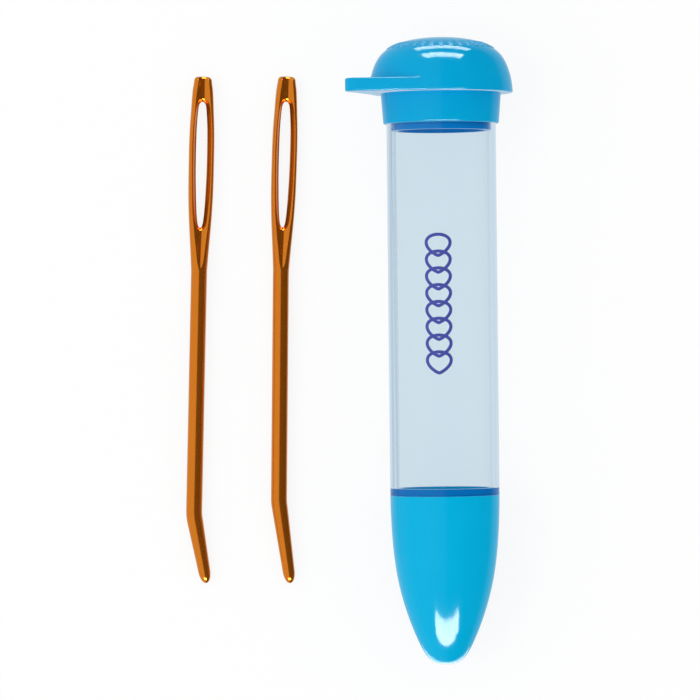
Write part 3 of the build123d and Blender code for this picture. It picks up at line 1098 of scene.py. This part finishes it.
def floor_material():
    """White seamless paper: matt, and lit through as on a light table, so only soft shadow shows."""
    material, tree = new_material("Seamless paper, white")
    path = add(tree, "ShaderNodeLightPath").outputs
    greater = {"operation": "MAXIMUM"}
    seen = add(tree, "ShaderNodeMath", greater, {0: path["Is Camera Ray"], 1: path["Is Glossy Ray"]})
    seen = add(tree, "ShaderNodeMath", greater, {0: seen, 1: path["Is Transmission Ray"]})
    share = add(tree, "ShaderNodeMath", {"operation": "MULTIPLY", 1: 0.85}, {0: seen})
    paper = add(tree, "ShaderNodeBsdfDiffuse", {"Color": linear("#FAFAFA")})
    glow = add(tree, "ShaderNodeEmission", {"Color": linear("#FFFFFF"), "Strength": 1.0})
    mix = add(tree, "ShaderNodeMixShader", {}, {0: share, 1: paper, 2: glow})
    add(tree, "ShaderNodeOutputMaterial", {}, {"Surface": mix})
    return material


def studio_world(level):
    """Even light from all round, and a white wall behind everything and through clear plastic.

    Mirrors see a white wall on the left, a dim warm room on the right and pale paper under them.
    """
    world = bpy.data.worlds.new("Studio")
    world.use_nodes = True
    tree = world.node_tree
    tree.nodes.clear()
    path = add(tree, "ShaderNodeLightPath").outputs
    direction = add(tree, "ShaderNodeTexCoord").outputs["Generated"]
    parts = add(tree, "ShaderNodeSeparateXYZ", {}, {"Vector": direction}).outputs
    across = {"interpolation_type": "SMOOTHSTEP", "From Min": -0.12, "From Max": 0.12}
    right = add(tree, "ShaderNodeMapRange", across, {"Value": parts["X"]})
    down = {"interpolation_type": "SMOOTHSTEP", "From Min": -0.3, "From Max": -0.6}
    under = add(tree, "ShaderNodeMapRange", down, {"Value": parts["Z"]})
    sides = {"data_type": "RGBA", "A": (0.68, 0.68, 0.68, 1.0), "B": (0.07, 0.04, 0.025, 1.0)}
    walls = add(tree, "ShaderNodeMix", sides, {"Factor": right})
    paper = {"data_type": "RGBA", "B": (0.66, 0.76, 0.84, 1.0)}
    around = add(tree, "ShaderNodeMix", paper, {"Factor": under, "A": walls})
    mirrored = add(tree, "ShaderNodeBackground", {"Strength": 1.0}, {"Color": around})
    white = linear("#FFFFFF")
    fill = add(tree, "ShaderNodeBackground", {"Color": white, "Strength": level})
    wall = add(tree, "ShaderNodeBackground", {"Color": white, "Strength": 1.0})
    lit = add(tree, "ShaderNodeMixShader", {}, {0: path["Is Glossy Ray"], 1: fill, 2: mirrored})
    rays = {0: path["Is Camera Ray"], 1: path["Is Transmission Ray"]}
    direct = add(tree, "ShaderNodeMath", {"operation": "MAXIMUM"}, rays)
    seen = add(tree, "ShaderNodeMixShader", {}, {0: direct, 1: lit, 2: wall})
    add(tree, "ShaderNodeOutputWorld", {}, {"Surface": seen})
    return world


def softbox(name, place, across, upward, size, level, mirrored_by=()):
    """Rectangular lamp with its width along one direction and its height along another.

    Its power is pi times its area times the level of its face. It lights all matt surfaces, or it
    is seen only as a reflection in the pieces named.
    """
    lamp = bpy.data.lights.new(name, "AREA")
    lamp.shape = "RECTANGLE"
    lamp.size, lamp.size_y = size
    lamp.energy = math.pi * size[0] * size[1] * level
    thing = bpy.data.objects.new(name, lamp)
    bpy.context.scene.collection.objects.link(thing)
    across = Vector(across).normalized()
    upward = Vector(upward).normalized()
    turn = Matrix((across, upward, across.cross(upward))).transposed()
    thing.matrix_world = Matrix.Translation(place) @ turn.to_4x4()
    thing.visible_camera = False
    thing.visible_transmission = False
    thing.visible_diffuse = not mirrored_by
    thing.visible_glossy = bool(mirrored_by)
    if mirrored_by:
        group = bpy.data.collections.new(name)
        for piece in mirrored_by:
            group.objects.link(bpy.data.objects[piece])
        thing.light_linking.receiver_collection = group


def square_camera(settings):
    """Camera that looks square at the case's axis, rolled a little about its view."""
    camera = bpy.data.cameras.new("Camera")
    camera.sensor_width = 36.0
    camera.sensor_fit = "HORIZONTAL"
    camera.lens = settings.focal_pixels / FRAME_PIXELS * camera.sensor_width
    camera.clip_start = 0.01
    camera.clip_end = 20.0
    thing = bpy.data.objects.new("Camera", camera)
    bpy.context.scene.collection.objects.link(thing)
    tilt = math.radians(CAMERA_TILT)
    roll = math.radians(CAMERA_ROLL)
    back = Vector((0, -math.sin(tilt), math.cos(tilt)))
    up = Vector((0, math.cos(tilt), math.sin(tilt)))
    right = Vector((1, 0, 0))
    across = math.cos(roll) * right + math.sin(roll) * up
    upward = -math.sin(roll) * right + math.cos(roll) * up
    turn = Matrix((across, upward, back)).transposed()
    place = Vector(CAMERA_TARGET) + settings.camera_distance * back
    thing.matrix_world = Matrix.Translation(place) @ turn.to_4x4()
    return thing


class SCENE_OT_plain_stage(bpy.types.Operator):
    """Lays the white paper, hangs the lamps and sets the camera square above the case"""

    bl_idname = "scene.plain_stage"
    bl_label = "Plain Stage"

    def execute(self, context):
        settings = context.scene.stage_settings
        reach = np.linspace(-PAPER_REACH, PAPER_REACH, 9)
        u, v = np.meshgrid(reach, reach, indexing="ij")
        floor = piece_mesh("paper", np.stack([u, v, 0 * u], -1), grid_faces(*u.shape))
        if floor.data.polygons[0].normal.z < 0:
            floor.data.flip_normals()
        floor.data.materials.append(floor_material())
        floor.visible_glossy = False

        scene = context.scene
        scene.world = studio_world(settings.fill)
        scene.view_settings.view_transform = "Standard"
        wide, tall = (0.78, 0, 0.62), (0, 1, 0)
        softbox("Left softbox", (-0.7, -0.15, 0.9), wide, tall, (0.9, 0.9), settings.key)
        for name, lamp in LAMPS.items():
            softbox(name, *lamp)
        scene.camera = square_camera(settings)
        return {"FINISHED"}


class VIEW3D_PT_needle_set(bpy.types.Panel):
    """Lists the pieces and their sizes"""

    bl_idname = "VIEW3D_PT_needle_set"
    bl_label = "Needles and Case"
    bl_space_type = "VIEW_3D"
    bl_region_type = "UI"
    bl_category = "Needles"

    def draw(self, context):
        for operator in OPERATORS:
            self.layout.operator(operator.bl_idname)
        for name in SETTINGS:
            group = getattr(context.scene, name)
            box = self.layout.box()
            for size in group.__annotations__:
                box.prop(group, size)


SETTINGS = {
    "needle_settings": NeedleSettings,
    "case_settings": CaseSettings,
    "stage_settings": StageSettings,
}
OPERATORS = (
    MESH_OT_yarn_needles,
    MESH_OT_case_tube,
    MESH_OT_case_nose,
    MESH_OT_case_cap,
    SCENE_OT_plain_stage,
)
CLASSES = (*SETTINGS.values(), *OPERATORS, VIEW3D_PT_needle_set)


def register():
    for group in CLASSES:
        bpy.utils.register_class(group)
    for name, group in SETTINGS.items():
        setattr(bpy.types.Scene, name, PointerProperty(type=group))


def unregister():
    for name in SETTINGS:
        delattr(bpy.types.Scene, name)
    for group in reversed(CLASSES):
        bpy.utils.unregister_class(group)


def main():
    register()
    bpy.ops.mesh.yarn_needles()
    bpy.ops.mesh.case_tube()
    bpy.ops.mesh.case_nose()
    bpy.ops.mesh.case_cap()
    bpy.ops.scene.plain_stage()


if __name__ == "__main__":
    main()
